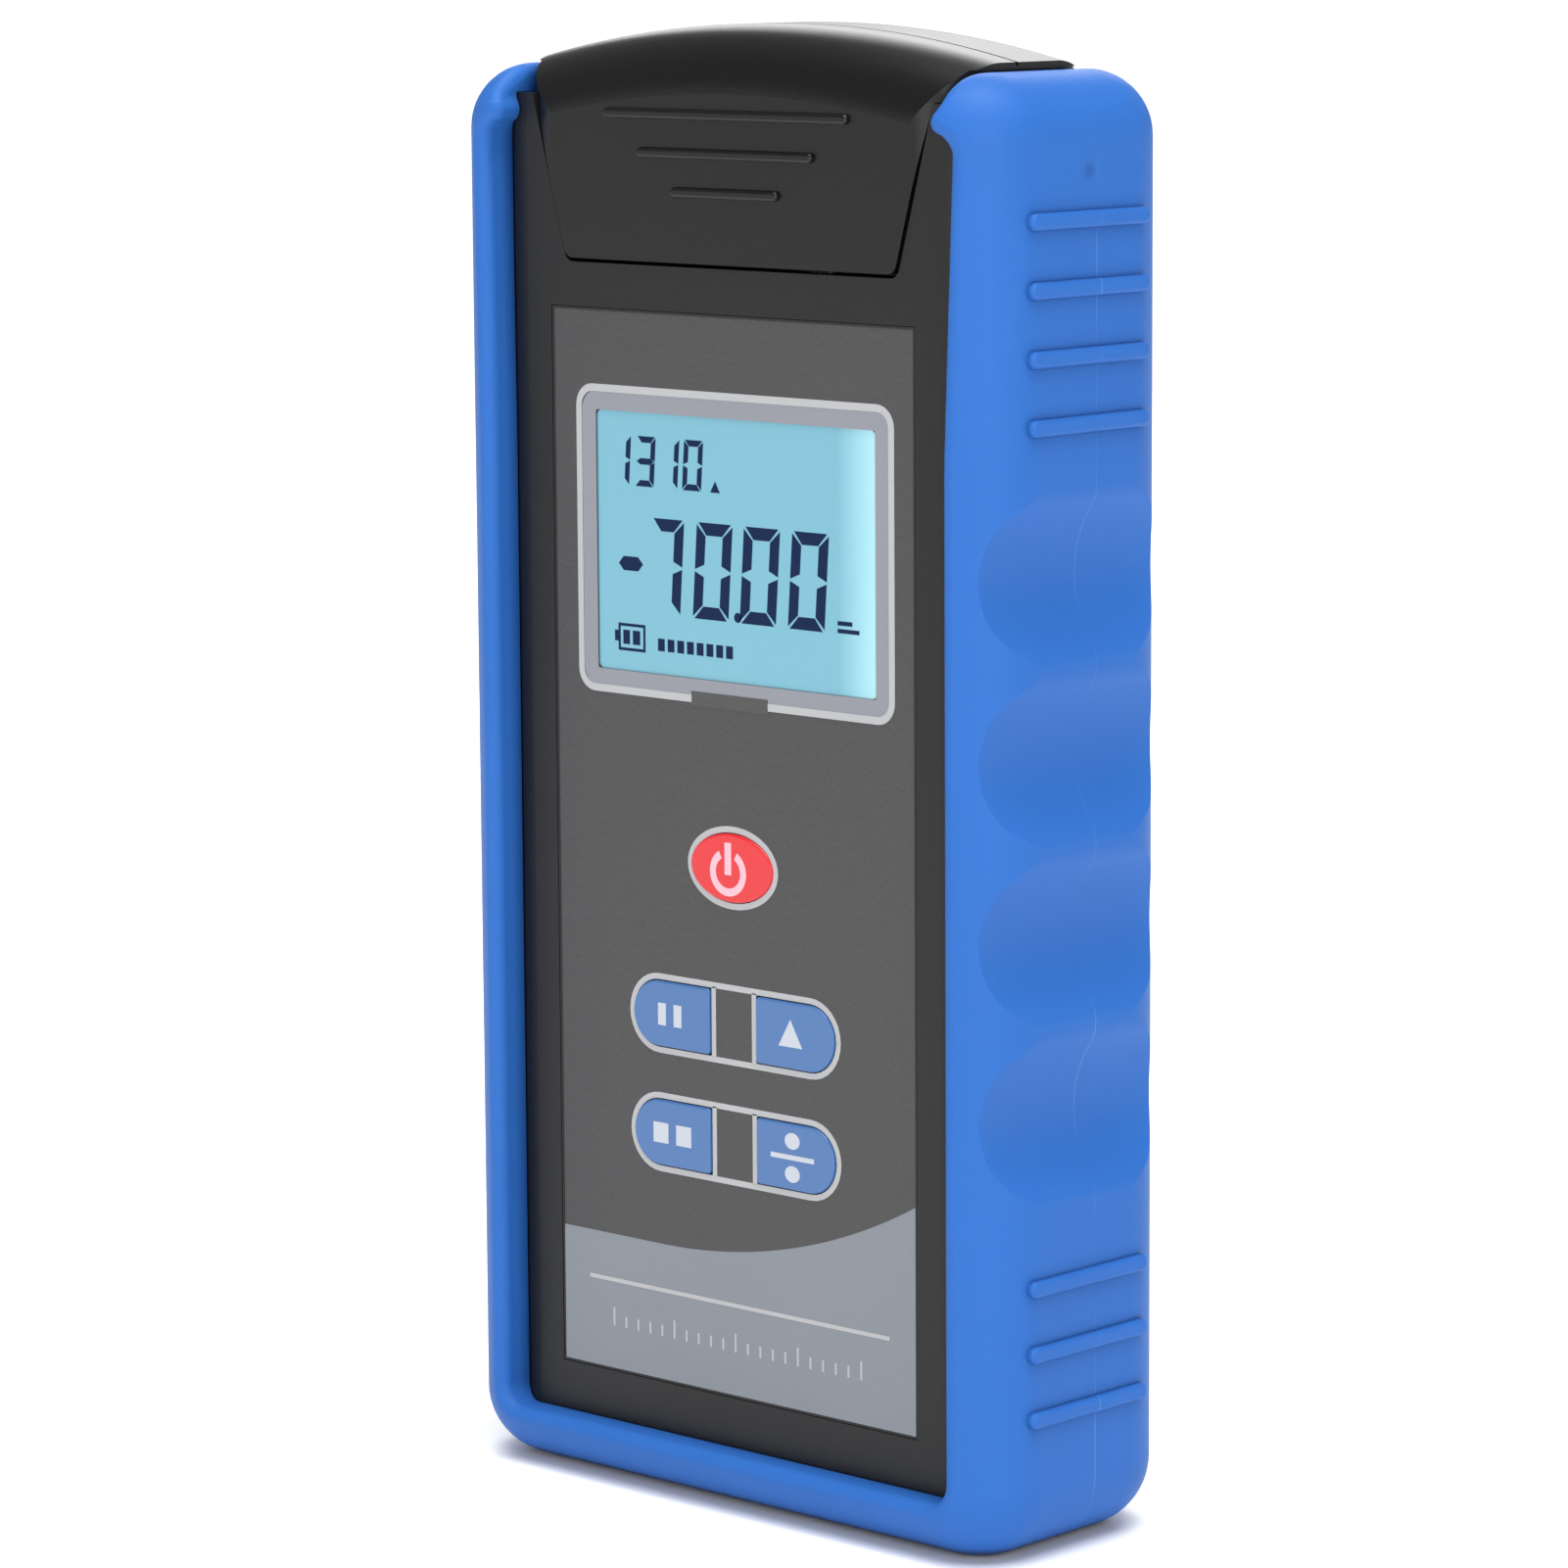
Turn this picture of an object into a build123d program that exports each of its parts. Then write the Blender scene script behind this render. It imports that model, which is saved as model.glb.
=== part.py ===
from build123d import *
import os

# A handheld optical power meter in its soft bumper holster, standing on its lower end.
# Millimetres. The origin is at the middle of the holster's base and +Z runs up the meter.
# The face with the display looks along -Y, and +X is to the right of its reader.

os.makedirs("parts", exist_ok=True)

# Running and seating clearances
FIT = 0.1
SLIDE_GAP = 0.15
FLAP_GAP = 0.35
FLAP_FOOT_GAP = 0.5

# Holster
HOLSTER_WIDTH = 87.8
HOLSTER_DEPTH = 35.2
HOLSTER_HEIGHT = 172.2
HOLSTER_CORNER = 9.6
HOLSTER_FOOT_ROUND = 8.6
HOLSTER_CROWN_ROUND = 7.7
SIDE_WALL = 5.2
FLOOR_WALL = 3.4
CROWN_WALL = 3.4
FRONT_LIP = 4.4
BACK_LIP = 4.8
LIP_ROUND = 1.4

# Holster window, the same outline at the front and the back
WINDOW_MARGIN = 7.7
WINDOW_SILL = 7.2
WINDOW_CORNER = 2.5
WINDOW_FLARE = 1.0
FLARE_START_DROP = 44.0
FLARE_ROUND = 60.0
LOBE_DROP = 7.4
LOBE_REACH = 3.5
LOBE_HEIGHT = 3.4
LOBE_ROUND = 1.3
LOBE_ROOT_ROUND = 2.5
THROAT_MARGIN = 8.9
THROAT_RUN = 5.0

# Finger scoops and grip bars on the holster's sides
SCOOP_COUNT = 4
SCOOP_PITCH = 20.87
SCOOP_MIDDLE_DROP = 2.4
SCOOP_CHORD = 17.8
SCOOP_DEPTH = 3.3
RIDGE_ROUND = 3.5
BAR_LENGTH = 20.8
BAR_WIDTH = 2.0
BAR_PROUD = 0.8
BAR_ROOT = 1.6
BAR_ROUND = 0.6
BAR_PITCH = 7.75
UPPER_BARS = 4
UPPER_BAR_DROP = 16.55
LOWER_BARS = 3
LOWER_BAR_RISE = 17.5

# Case: two shells that meet at the parting plane
CASE_WALL = 2.0
CASE_CORNER = 5.4
CASE_FOOT_ROUND = 4.0
PARTING = -2.6
DECK_DROP = 16.3
DECK_THICK = 3.4
WELL_WALL = 5.6
WELL_CORNER = 1.0

# Dust cover
COVER_SIDE_GAP = 0.4
COVER_RISE = 5.0
COVER_END_RISE = 1.2
COVER_WALL = 2.0
COVER_ROUND = 8.0
COVER_CORNER = 6.0
COVER_PROUD = 0.3
COVER_BACK_INSET = 0.2
RIM_OVERHANG = 0.9
RIM_ROOT = 0.6
RIM_FOOT_GAP = 0.25
FLAP_HEIGHT = 19.5
FLAP_TOP_INSET = 2.8
FLAP_TAPER = 5.4
FLAP_CORNER = 1.4
THUMB_RIBS = 3
THUMB_RIB_DROP = 2.1
THUMB_RIB_PITCH = 4.55
THUMB_RIB_HALF = 19.6
THUMB_RIB_STEP = 5.5
THUMB_RIB_WIDTH = 1.2
THUMB_RIB_PROUD = 0.6
THUMB_RIB_ROUND = 0.4
SEAM_WIDTH = 0.4
SEAM_DEPTH = 0.4

# Hinge of the dust cover
HINGE_BARREL = 2.0
HINGE_PIN = 0.9
HINGE_KNUCKLE = 24.0
HINGE_LUG = 8.0
HINGE_NECK = 3.0
HINGE_NECK_INSET = 1.5
HINGE_SIDE_GAP = 0.3
HINGE_RUN = 0.05

# Face label, display window and keys
LABEL_WIDTH = 58.4
LABEL_DROP = 25.4
LABEL_FOOT = 13.4
LABEL_THICK = 0.3
LABEL_SUNK = 0.4
DISPLAY_X = 0.5
DISPLAY_DROP = 27.7
DISPLAY_WIDTH = 45.1
DISPLAY_HEIGHT = 31.2
DISPLAY_CORNER = 0.8
WINDOW_INSET = 0.3
WINDOW_THICK = 1.5
KEY_PROUD = 0.35
KEY_DOME = 0.25
KEY_TRAVEL = 0.5
KEY_SLACK = 0.05
POWER_KEY_HALF_WIDTH = 6.6
POWER_KEY_HALF_HEIGHT = 4.13
POWER_KEY_DROP = 37.75
KEY_INNER = 3.8
KEY_OUTER = 16.4
KEY_HALF = 4.0
KEY_CORNER = 0.5
UPPER_KEYS_DROP = 19.0
KEY_ROW_PITCH = 14.6
KEY_FLANGE = 0.8
KEY_FLANGE_THICK = 0.8
PLUNGER_RADIUS = 1.5

# Display stack and main board
GLASS_BORDER = 2.4
GLASS_THICK = 2.0
BACKLIGHT_THICK = 2.2
BOARD_THICK = 1.6
BOARD_SIDE_ROOM = 8.6
BOARD_RISE = 10.5
BOARD_DROP = 3.0
BOARD_CORNER = 2.0
SWITCH_SIZE = 6.0
SWITCH_BODY = 1.5
SWITCH_BUTTON = 1.6
SWITCH_BUTTON_RISE = 0.6
SWITCH_CORNER = 0.4
CONNECTOR_WIDTH = 1.6
PROCESSOR_X = 3.0
PROCESSOR_DROP = 40.0
PROCESSOR_SIZE = 10.0
PROCESSOR_THICK = 1.4
AMPLIFIER_X = 2.0
AMPLIFIER_DROP = 12.0
AMPLIFIER_SIZE = 5.0
AMPLIFIER_THICK = 1.5
CHIP_CHAMFER = 0.2
SOUNDER_X = -18.0
SOUNDER_DROP = 54.0
SOUNDER_RADIUS = 5.0
SOUNDER_THICK = 3.2
SOUNDER_PORT = 0.9

# Bosses and screws
CASE_SCREW_INSET = 4.6
CASE_SCREW_RISE = 8.5
CASE_SCREW_DROP = 5.0
CASE_BOSS = 2.9
CASE_SCREW_RADIUS = 1.1
CASE_SCREW_HEAD = 2.1
CASE_SCREW_HEAD_THICK = 1.3
CASE_SCREW_LENGTH = 17.0
BOARD_SCREW_INSET = 3.0
BOARD_SCREW_END = 4.0
BOARD_BOSS = 2.2
BOARD_SCREW_RADIUS = 0.9
BOARD_SCREW_HEAD = 1.7
BOARD_SCREW_HEAD_THICK = 1.1
BOARD_SCREW_LENGTH = 4.5
SCREW_CROSS_WIDTH = 0.5

# Round cells, their tray and door
CELL_RADIUS = 7.1
CELL_LENGTH = 49.2
CELL_NUB_RADIUS = 2.7
CELL_NUB = 1.3
CELL_PITCH = 15.0
CELL_FOOT = 22.0
CONTACT_ROOM = 3.6
TRAY_WALL = 1.0
DOOR_THICK = 1.9
DOOR_GAP = 0.25
DOOR_CORNER = 1.5
DOOR_TAB_WIDTH = 7.0
DOOR_TAB_X = 14.0
DOOR_TAB_DROP = 1.6
DOOR_TAB_RISE = 2.6
DOOR_TAB_THICK = 0.9
TAB_ROOM = 1.3
TONGUE_WIDTH = 5.0
TONGUE_LENGTH = 2.6
TONGUE_THICK = 0.9
TONGUE_GAP = 0.35
DOOR_RIBS = 5
DOOR_RIB_PITCH = 2.4
DOOR_RIB_WIDTH = 1.1
DOOR_RIB_LENGTH = 16.0
DOOR_RIB_DEPTH = 0.5
DOOR_RIB_DROP = 6.0
CONTACT_THICK = 0.3
CONTACT_WIDTH = 6.0
CONTACT_REACH = 3.0
CELL_ROUND = 0.5

# Fibre adapter, its sleeve and the detector under it
ADAPTER_INSET = 8.6
ADAPTER_FLANGE = 12.6
ADAPTER_FLANGE_THICK = 2.0
ADAPTER_CORNER = 1.0
ADAPTER_CHAMFER = 0.3
ADAPTER_RADIUS = 4.0
ADAPTER_ROOM = 3.1
ADAPTER_RISE = 8.0
ADAPTER_STEM = 4.5
ADAPTER_WEB = 1.8
ADAPTER_KEYWAY = 2.1
KEYWAY_DEPTH = 3.0
FERRULE_RADIUS = 1.25
SLEEVE_WALL = 0.5
SLEEVE_RECESS = 0.5
DETECTOR_RADIUS = 2.7
DETECTOR_LENGTH = 3.5
DETECTOR_RIM = 0.4
DETECTOR_BOARD = 12.6
DETECTOR_BOARD_THICK = 1.2
ADAPTER_SCREW_OFFSET = 4.7
ADAPTER_SCREW_RADIUS = 0.8
ADAPTER_SCREW_HEAD = 1.4
ADAPTER_SCREW_HEAD_THICK = 0.9
ADAPTER_SCREW_LENGTH = 3.4

# Places of the holster and the case
holster_half = HOLSTER_WIDTH / 2
lip_front = -HOLSTER_DEPTH / 2
lip_back = HOLSTER_DEPTH / 2
window_half = holster_half - WINDOW_MARGIN
flare_half = window_half + WINDOW_FLARE
throat_half = holster_half - THROAT_MARGIN
throat_top = HOLSTER_HEIGHT + THROAT_RUN
case_half = holster_half - SIDE_WALL - FIT
case_front = lip_front + FRONT_LIP
case_back = lip_back - BACK_LIP
case_foot = FLOOR_WALL + FIT
case_top = HOLSTER_HEIGHT - CROWN_WALL - FIT
wall_front = case_front + CASE_WALL
wall_back = case_back - CASE_WALL
deck_level = case_top - DECK_DROP
deck_foot = deck_level - DECK_THICK
well_half = case_half - WELL_WALL

# Places of the dust cover and its hinge
cover_seat = case_top + FIT
cover_half = throat_half - COVER_SIDE_GAP
cover_front = case_front - COVER_PROUD
cover_back = case_back - COVER_BACK_INSET
cover_apex = HOLSTER_HEIGHT + COVER_RISE
cover_sag = COVER_RISE - COVER_END_RISE
cover_crown = (cover_half ** 2 + cover_sag ** 2) / (2 * cover_sag)
crown_centre = cover_apex - cover_crown
rim_foot = HOLSTER_HEIGHT + RIM_FOOT_GAP
flap_foot = cover_seat - FLAP_HEIGHT
flap_top_half = cover_half - FLAP_TOP_INSET
flap_foot_half = flap_top_half - FLAP_TAPER
hinge_y = case_back + FIT
hinge_z = cover_seat
knuckle_room = HINGE_KNUCKLE / 2 + HINGE_SIDE_GAP
hinge_half = knuckle_room + HINGE_LUG

# Places of the label, the display, the keys and the board
label_back = case_front + LABEL_SUNK
label_front = label_back - LABEL_THICK
label_height = cover_seat - LABEL_DROP - LABEL_FOOT
label_z = LABEL_FOOT + label_height / 2
label_top = LABEL_FOOT + label_height
display_z = label_top - DISPLAY_DROP
power_key_z = display_z - POWER_KEY_DROP
upper_keys_z = power_key_z - UPPER_KEYS_DROP
window_front = case_front + WINDOW_INSET
key_front = label_front - KEY_PROUD
flange_front = wall_front + KEY_SLACK
glass_front = wall_front + FIT
glass_back = glass_front + GLASS_THICK
board_front = glass_back + BACKLIGHT_THICK
board_back = board_front + BOARD_THICK
board_half = case_half - BOARD_SIDE_ROOM
board_foot = case_foot + BOARD_RISE
board_top = deck_foot - BOARD_DROP
switch_top = board_front - SWITCH_BODY - SWITCH_BUTTON_RISE
plunger_end = switch_top - KEY_TRAVEL - KEY_SLACK
side_keys = {
    "upper_left_key": (-1, upper_keys_z),
    "upper_right_key": (1, upper_keys_z),
    "lower_left_key": (-1, upper_keys_z - KEY_ROW_PITCH),
    "lower_right_key": (1, upper_keys_z - KEY_ROW_PITCH),
}
key_names = ["power_key"] + list(side_keys)
switch_places = {name: (side * (KEY_INNER + KEY_OUTER) / 2, z) for name, (side, z) in side_keys.items()}
switch_places["power_key"] = (0, power_key_z)
chips = {
    "processor_chip": (PROCESSOR_X, board_top - PROCESSOR_DROP, PROCESSOR_SIZE, PROCESSOR_THICK),
    "amplifier_chip": (AMPLIFIER_X, board_top - AMPLIFIER_DROP, AMPLIFIER_SIZE, AMPLIFIER_THICK),
}

# Places of the cells, their tray and door
door_inside = case_back - DOOR_THICK
cell_y = door_inside - FIT - CELL_RADIUS
tray_front = cell_y - CELL_RADIUS - FIT - TRAY_WALL
tray_half = CELL_PITCH + CELL_RADIUS + 2 * FIT
tray_foot = CELL_FOOT - CONTACT_ROOM
tray_top = CELL_FOOT + CELL_LENGTH + CELL_NUB + CONTACT_ROOM
door_half = tray_half + TRAY_WALL
door_foot = tray_foot - TRAY_WALL
door_top = tray_top + TRAY_WALL
door_roll = DOOR_THICK / 2
tab_back = wall_back - FIT
cells = {
    "left_cell": (-CELL_PITCH, False),
    "middle_cell": (0, True),
    "right_cell": (CELL_PITCH, False),
}

# Places of the adapter and of the screws
adapter_y = case_back - ADAPTER_INSET
adapter_foot = deck_level - ADAPTER_STEM
adapter_top = deck_level + ADAPTER_RISE
web_foot = adapter_foot + DETECTOR_LENGTH
web_top = web_foot + ADAPTER_WEB
screw_seat = case_back - 2 * CASE_SCREW_HEAD_THICK
case_screw_half = case_half - CASE_SCREW_INSET
board_screw_half = board_half - BOARD_SCREW_INSET
case_screw_places = [(x, z) for x in (-case_screw_half, case_screw_half)
                     for z in (case_foot + CASE_SCREW_RISE, deck_foot - CASE_SCREW_DROP)]
board_screw_places = [(x, z) for x in (-board_screw_half, board_screw_half)
                      for z in (board_foot + BOARD_SCREW_END, board_top - BOARD_SCREW_END)]
adapter_screw_places = [(side * ADAPTER_SCREW_OFFSET, adapter_y - side * ADAPTER_SCREW_OFFSET)
                        for side in (-1, 1)]


def facing(y):
    """Sketch plane that looks at the reader, at depth y; extrude runs towards the reader."""
    return Plane.XZ.offset(-y)


def finish(piece, name):
    """Label a finished piece and write it under its own name."""
    piece.part.label = name
    export_step(piece.part, f"parts/{name}.step")


def rounded_block(half, front, back, foot, top, corner, foot_round):
    """Upright block with round corners in plan and a rounded foot."""
    with BuildPart() as block:
        with BuildSketch(Plane.XY.offset(foot)):
            with Locations((0, (front + back) / 2)):
                RectangleRounded(2 * half, back - front, corner)
        extrude(amount=top - foot)
        fillet(block.faces().sort_by(Axis.Z)[0].edges(), foot_round)
    return block.part


def rearward(y):
    """Sketch plane that looks at whoever stands behind the meter, at depth y."""
    return Plane(origin=(0, y, 0), x_dir=(-1, 0, 0), z_dir=(0, 1, 0))


def key_outline(name, grow):
    """Outline of one key, larger all round by grow."""
    with BuildSketch() as outline:
        if name == "power_key":
            with Locations((0, power_key_z)):
                Ellipse(POWER_KEY_HALF_WIDTH + grow, POWER_KEY_HALF_HEIGHT + grow)
        else:
            side, z = side_keys[name]
            round_x = KEY_OUTER - KEY_HALF
            with Locations((side * round_x, z)):
                Circle(KEY_HALF + grow)
            with Locations((side * (round_x + KEY_INNER - grow) / 2, z)):
                Rectangle(round_x - KEY_INNER + grow, 2 * (KEY_HALF + grow))
            inner_corners = outline.vertices().sort_by(lambda v: abs(v.X))[:2]
            fillet(inner_corners, KEY_CORNER)
    return outline.sketch


def flap_outline(grow, drop):
    """Trapezoid of the cover's flap, wider by grow each side and longer by drop at its foot."""
    foot = flap_foot - drop
    head = cover_seat + FLAP_CORNER
    slope = FLAP_TAPER / FLAP_HEIGHT
    low = flap_foot_half + grow - drop * slope
    high = low + (head - foot) * slope
    with BuildSketch() as outline:
        with BuildLine():
            Polyline((-high, head), (-low, foot), (low, foot), (high, head), close=True)
        make_face()
        fillet(outline.vertices().group_by(Axis.Y)[0], FLAP_CORNER)
    return outline.sketch


def screws(plane, places, head_radius, head_thick, radius, length):
    """Screws whose heads sit on a plane that looks the way the heads do."""
    with BuildPart() as group:
        with BuildSketch(plane):
            with Locations(*places):
                Circle(head_radius)
        extrude(amount=head_thick)
        with BuildSketch(plane):
            with Locations(*places):
                Circle(radius)
        extrude(amount=-length)
        with BuildSketch(plane.offset(head_thick)):
            with Locations(*places):
                Rectangle(1.2 * head_radius, SCREW_CROSS_WIDTH)
                Rectangle(SCREW_CROSS_WIDTH, 1.2 * head_radius)
        extrude(amount=-head_thick / 2, mode=Mode.SUBTRACT)
    return group


def cover_block(half, front, back, apex, edge_round, corner):
    """Arched block with its front and back top edges rounded and its corners round in plan."""
    crown = apex - crown_centre
    spring = crown_centre + (crown ** 2 - half ** 2) ** 0.5
    with BuildPart() as block:
        with BuildSketch(facing(back)):
            with BuildLine():
                ThreePointArc((-half, spring), (0, apex), (half, spring))
                Polyline((half, spring), (half, flap_foot), (-half, flap_foot), (-half, spring))
            make_face()
        extrude(amount=back - front)
        fillet(block.edges().filter_by(GeomType.CIRCLE), edge_round)
        with BuildSketch(Plane.XY.offset(flap_foot)):
            with Locations((0, (front + back) / 2)):
                RectangleRounded(2 * half, back - front, corner)
        extrude(amount=apex - flap_foot, mode=Mode.INTERSECT)
    return block.part


def door_outline(foot, grow):
    """Outline of the battery door from a given foot, round at its head, larger all round by grow."""
    head = door_top + grow
    with BuildSketch() as outline:
        with Locations((0, (foot + head) / 2)):
            Rectangle(2 * (door_half + grow), head - foot)
        fillet(outline.vertices().group_by(Axis.Y)[-1], DOOR_CORNER + grow)
    return outline.sketch


# Holster: one soft moulding that wraps the case, open at the front, the back and the crown
with BuildPart() as grip_bar:
    with BuildSketch(Plane.YZ.offset(holster_half - BAR_ROOT)):
        SlotOverall(BAR_LENGTH, BAR_WIDTH)
    extrude(amount=BAR_ROOT + BAR_PROUD)
    fillet(grip_bar.faces().sort_by(Axis.X)[-1].edges(), BAR_ROUND)

with BuildPart() as holster:
    with BuildSketch():
        RectangleRounded(HOLSTER_WIDTH, HOLSTER_DEPTH, HOLSTER_CORNER)
    extrude(amount=HOLSTER_HEIGHT)
    fillet(holster.faces().sort_by(Axis.Z)[0].edges(), HOLSTER_FOOT_ROUND)
    fillet(holster.faces().sort_by(Axis.Z)[-1].edges(), HOLSTER_CROWN_ROUND)
    add(rounded_block(case_half + FIT, case_front - FIT, case_back + FIT, FLOOR_WALL, case_top + FIT,
                      CASE_CORNER, CASE_FOOT_ROUND), mode=Mode.SUBTRACT)
    # Window with a lobe each side, and the throat that the dust cover stands in
    lobe_z = HOLSTER_HEIGHT - LOBE_DROP
    with BuildSketch(Plane.XZ):
        with BuildLine():
            FilletPolyline(
                (0, WINDOW_SILL),
                (window_half, WINDOW_SILL),
                (window_half, HOLSTER_HEIGHT - FLARE_START_DROP),
                (flare_half, lobe_z),
                (flare_half - LOBE_REACH, lobe_z + LOBE_ROUND),
                (throat_half, lobe_z + LOBE_HEIGHT),
                (throat_half, throat_top),
                (0, throat_top),
                radius=[WINDOW_CORNER, FLARE_ROUND, LOBE_ROOT_ROUND, LOBE_ROUND, LOBE_ROUND, 0],
            )
            Line((0, throat_top), (0, WINDOW_SILL))
        make_face()
        mirror(about=Plane.YZ)
    extrude(amount=HOLSTER_DEPTH, both=True, mode=Mode.SUBTRACT)
    lip_edges = [e for e in holster.edges()
                 if abs(e.center().Y) > lip_back - LIP_ROUND
                 and abs(e.center().X) < flare_half + FIT
                 and e.center().Z > WINDOW_SILL - FIT]
    fillet(lip_edges, LIP_ROUND)
    # Finger scoops: round hollows that run through the whole depth, with soft ridges between
    scoop_radius = (SCOOP_CHORD ** 2 / 4 + SCOOP_DEPTH ** 2) / (2 * SCOOP_DEPTH)
    scoop_centre = holster_half - SCOOP_DEPTH + scoop_radius
    scoop_middle = HOLSTER_HEIGHT / 2 - SCOOP_MIDDLE_DROP
    scoop_heights = [scoop_middle + (i - (SCOOP_COUNT - 1) / 2) * SCOOP_PITCH for i in range(SCOOP_COUNT)]
    with BuildSketch(Plane.XZ) as scoops:
        with Locations([(scoop_centre, z) for z in scoop_heights]):
            Circle(scoop_radius)
        with Locations((holster_half + scoop_radius, scoop_middle)):
            Rectangle(2 * scoop_radius, SCOOP_PITCH * (SCOOP_COUNT + 1))
        side_points = scoops.vertices().sort_by(Axis.X)[:2 * SCOOP_COUNT + 2]
        fillet(side_points.sort_by(Axis.Y)[1:-1], RIDGE_ROUND)
        mirror(about=Plane.YZ)
    extrude(amount=HOLSTER_DEPTH, both=True, mode=Mode.SUBTRACT)
    # Grip bars above and below the scoops, both sides
    bar_heights = [HOLSTER_HEIGHT - UPPER_BAR_DROP - i * BAR_PITCH for i in range(UPPER_BARS)]
    bar_heights += [LOWER_BAR_RISE + i * BAR_PITCH for i in range(LOWER_BARS)]
    for z in bar_heights:
        with Locations((0, 0, z)):
            add(grip_bar.part)
            add(grip_bar.part.mirror(Plane.YZ))
finish(holster, "holster")

# Case: one outer form and one room, shared by the two shells
with BuildPart() as case_hollow:
    add(rounded_block(case_half - CASE_WALL, wall_front, wall_back, case_foot + CASE_WALL, deck_foot,
                      CASE_CORNER - CASE_WALL, CASE_FOOT_ROUND - CASE_WALL))
    with BuildSketch(Plane.XY.offset(deck_level)):
        with Locations((0, (wall_front + wall_back) / 2)):
            RectangleRounded(2 * well_half, wall_back - wall_front, WELL_CORNER)
    extrude(amount=case_top - deck_level + FIT)

with BuildPart() as case_body:
    add(rounded_block(case_half, case_front, case_back, case_foot, case_top, CASE_CORNER, CASE_FOOT_ROUND))
    add(case_hollow.part, mode=Mode.SUBTRACT)

with BuildPart() as front_case:
    add(case_body.part)
    split(bisect_by=facing(PARTING), keep=Keep.TOP)
    # Pocket for the label, openings for the display and the keys, notch for the cover's flap
    with BuildSketch(facing(label_back)):
        with Locations((0, label_z)):
            Rectangle(LABEL_WIDTH + 2 * FIT, label_height + 2 * FIT)
    extrude(amount=LABEL_SUNK + FIT, mode=Mode.SUBTRACT)
    with BuildSketch(facing(wall_front + FIT)):
        with Locations((DISPLAY_X, display_z)):
            RectangleRounded(DISPLAY_WIDTH + FIT, DISPLAY_HEIGHT + FIT, DISPLAY_CORNER)
        for name in key_names:
            add(key_outline(name, SLIDE_GAP))
        add(flap_outline(FLAP_GAP, FLAP_FOOT_GAP))
    extrude(amount=CASE_WALL + 2 * FIT, mode=Mode.SUBTRACT)
    # Bosses behind the front wall for the board and for the case screws, with their bores
    with BuildSketch(facing(board_front)):
        with Locations(*board_screw_places):
            Circle(BOARD_BOSS)
    extrude(amount=board_front - wall_front + FIT)
    with BuildSketch(facing(PARTING)):
        with Locations(*case_screw_places):
            Circle(CASE_BOSS)
    extrude(amount=PARTING - wall_front + FIT)
    with BuildSketch(facing(board_front)):
        with Locations(*board_screw_places):
            Circle(BOARD_SCREW_RADIUS)
    extrude(amount=BOARD_SCREW_LENGTH - BOARD_THICK, mode=Mode.SUBTRACT)
    with BuildSketch(facing(PARTING)):
        with Locations(*case_screw_places):
            Circle(CASE_SCREW_RADIUS)
    extrude(amount=PARTING - (screw_seat - CASE_SCREW_LENGTH), mode=Mode.SUBTRACT)
finish(front_case, "front_case")

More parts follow.
